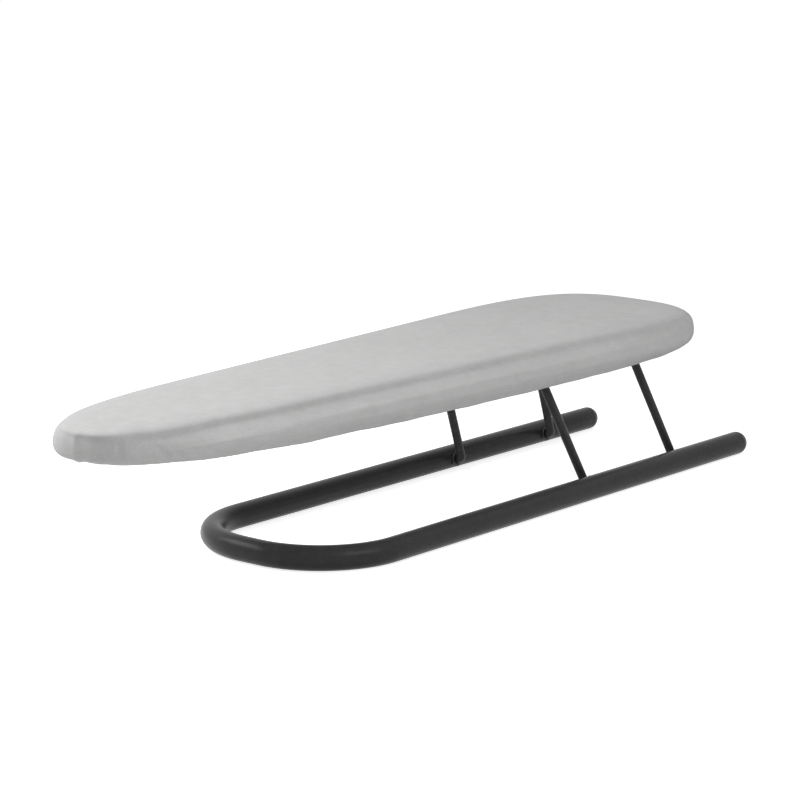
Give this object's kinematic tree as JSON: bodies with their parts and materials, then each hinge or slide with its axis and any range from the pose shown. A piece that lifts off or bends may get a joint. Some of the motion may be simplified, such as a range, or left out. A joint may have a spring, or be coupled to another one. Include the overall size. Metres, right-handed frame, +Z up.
{
  "type": "tabletop sleeve ironing board with fitted cover",
  "caption": "Folding tabletop sleeve ironing board: a tapered, padded board in a fitted grey elasticated cover, on two slanted rod legs hinged into a U-shaped tube base.",
  "frame": {"origin": "on the table, under the middle of the overall length and width", "axes": "+X along the board from its narrow nose to its wide end, +Y across it to the far side, +Z up"},
  "size_m": [0.6, 0.1544, 0.1108],
  "materials": {
    "cover_fabric": "light grey woven cotton, matt, with a faint mottle",
    "pad_felt": "off-white needled felt",
    "elastic_cord": "braided elastic cord",
    "panel_steel": "pressed sheet steel, grey paint",
    "bracket_steel": "zinc-plated strip steel",
    "rivet_steel": "zinc-plated, slightly polished tails",
    "dark_paint": "dark grey satin powder coat",
    "dark_plastic": "dark grey moulded plastic, fine matt grain",
    "black_nylon": "black nylon"
  },
  "bodies": {
    "base": {"base_tube": "dark_paint", "end_cap_near": "dark_plastic", "end_cap_far": "dark_plastic", "front_bush_near": "black_nylon", "front_bush_far": "black_nylon", "rear_bush_near": "black_nylon", "rear_bush_far": "black_nylon"},
    "front_leg": {"front_leg_frame": "dark_paint"},
    "rear_leg": {"rear_leg_frame": "dark_paint"},
    "board": {"board_panel": "panel_steel", "front_hinge_strap_near": "bracket_steel", "front_hinge_strap_far": "bracket_steel", "rear_hinge_strap_near": "bracket_steel", "rear_hinge_strap_far": "bracket_steel", "front_leg_stop_near": "bracket_steel", "front_leg_stop_far": "bracket_steel", "rear_leg_stop_near": "bracket_steel", "rear_leg_stop_far": "bracket_steel", "front_strap_rivet_near_nose_side": "rivet_steel", "front_strap_rivet_near_wide_side": "rivet_steel", "front_strap_rivet_far_nose_side": "rivet_steel", "front_strap_rivet_far_wide_side": "rivet_steel", "rear_strap_rivet_near_nose_side": "rivet_steel", "rear_strap_rivet_near_wide_side": "rivet_steel", "rear_strap_rivet_far_nose_side": "rivet_steel", "rear_strap_rivet_far_wide_side": "rivet_steel", "front_stop_rivet_near": "rivet_steel", "front_stop_rivet_far": "rivet_steel", "rear_stop_rivet_near": "rivet_steel", "rear_stop_rivet_far": "rivet_steel", "felt_pad": "pad_felt", "fabric_cover": "cover_fabric", "hem_elastic": "elastic_cord"}
  },
  "joints": [
    {"name": "front_leg_fold", "type": "hinge", "parent": "base", "child": "front_leg", "pos_m": [0.12695, 0, 0.008], "axis": [0, 1, 0], "range_deg": [0, 103.4]},
    {"name": "board_swing", "type": "hinge", "parent": "front_leg", "child": "board", "pos_m": [0.08237, 0, 0.099], "axis": [0, 1, 0], "range_deg": [-103.4, 0]},
    {"name": "rear_leg_fold", "type": "hinge", "parent": "base", "child": "rear_leg", "pos_m": [0.23075, 0, 0.008], "axis": [0, 1, 0], "range_deg": [0, 103.4]}
  ],
  "couplings": [
    {"joint": "board_swing", "follows": "front_leg_fold", "ratio": -1},
    {"joint": "rear_leg_fold", "follows": "front_leg_fold", "ratio": 1}
  ]
}
